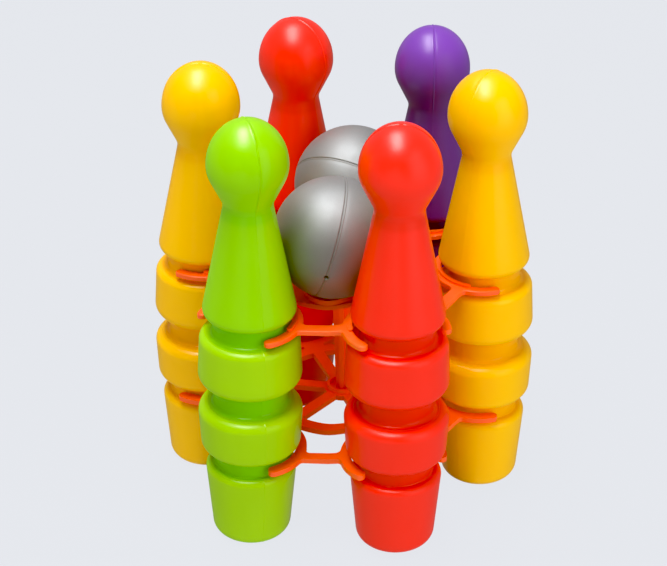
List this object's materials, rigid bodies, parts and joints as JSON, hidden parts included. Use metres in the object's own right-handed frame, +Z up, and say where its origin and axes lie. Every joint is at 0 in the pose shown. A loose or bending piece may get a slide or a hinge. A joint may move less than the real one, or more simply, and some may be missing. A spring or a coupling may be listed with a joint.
{
  "type": "kids bowling set",
  "caption": "Toy skittle set: hollow coloured skittles snapped into a two-level hexagonal carrier that also seats two balls on its tray.",
  "frame": {"origin": "on the floor, at the middle of the hexagon of skittles", "axes": "+Z up; -Y towards the picture's viewer, so the green and one red skittle are in front; +X to the viewer's right"},
  "size_m": [0.2434, 0.2194, 0.28],
  "materials": {
    "skittle_green": "satin gloss",
    "skittle_red": "satin gloss",
    "skittle_yellow": "satin gloss",
    "skittle_purple": "satin gloss",
    "ball_silver": "satin metallic",
    "carrier_orange": "satin gloss"
  },
  "bodies": {
    "carrier": {"carrier_upper": "carrier_orange", "carrier_lower": "carrier_orange"},
    "skittle_green": {"pin_green": "skittle_green"},
    "skittle_red_front": {"pin_red_front": "skittle_red"},
    "skittle_yellow_right": {"pin_yellow_right": "skittle_yellow"},
    "skittle_purple": {"pin_purple": "skittle_purple"},
    "skittle_red_back": {"pin_red_back": "skittle_red"},
    "skittle_yellow_left": {"pin_yellow_left": "skittle_yellow"},
    "ball_front": {"ball_front": "ball_silver"},
    "ball_back": {"ball_back": "ball_silver"}
  },
  "joints": [
    {"name": "pull_green", "type": "slide", "parent": "carrier", "child": "skittle_green", "axis": [-0.5, -0.866, 0], "range_m": [0, 0.06]},
    {"name": "pull_red_front", "type": "slide", "parent": "carrier", "child": "skittle_red_front", "axis": [0.5, -0.866, 0], "range_m": [0, 0.06]},
    {"name": "pull_yellow_right", "type": "slide", "parent": "carrier", "child": "skittle_yellow_right", "axis": [1, 0, 0], "range_m": [0, 0.06]},
    {"name": "pull_purple", "type": "slide", "parent": "carrier", "child": "skittle_purple", "axis": [0.5, 0.866, 0], "range_m": [0, 0.06]},
    {"name": "pull_red_back", "type": "slide", "parent": "carrier", "child": "skittle_red_back", "axis": [-0.5, 0.866, 0], "range_m": [0, 0.06]},
    {"name": "pull_yellow_left", "type": "slide", "parent": "carrier", "child": "skittle_yellow_left", "axis": [-1, 0, 0], "range_m": [0, 0.06]},
    {"name": "lift_ball_front", "type": "slide", "parent": "carrier", "child": "ball_front", "axis": [0, 0, 1], "range_m": [0, 0.135]},
    {"name": "lift_ball_back", "type": "slide", "parent": "carrier", "child": "ball_back", "axis": [0, 0, 1], "range_m": [0, 0.135]}
  ]
}
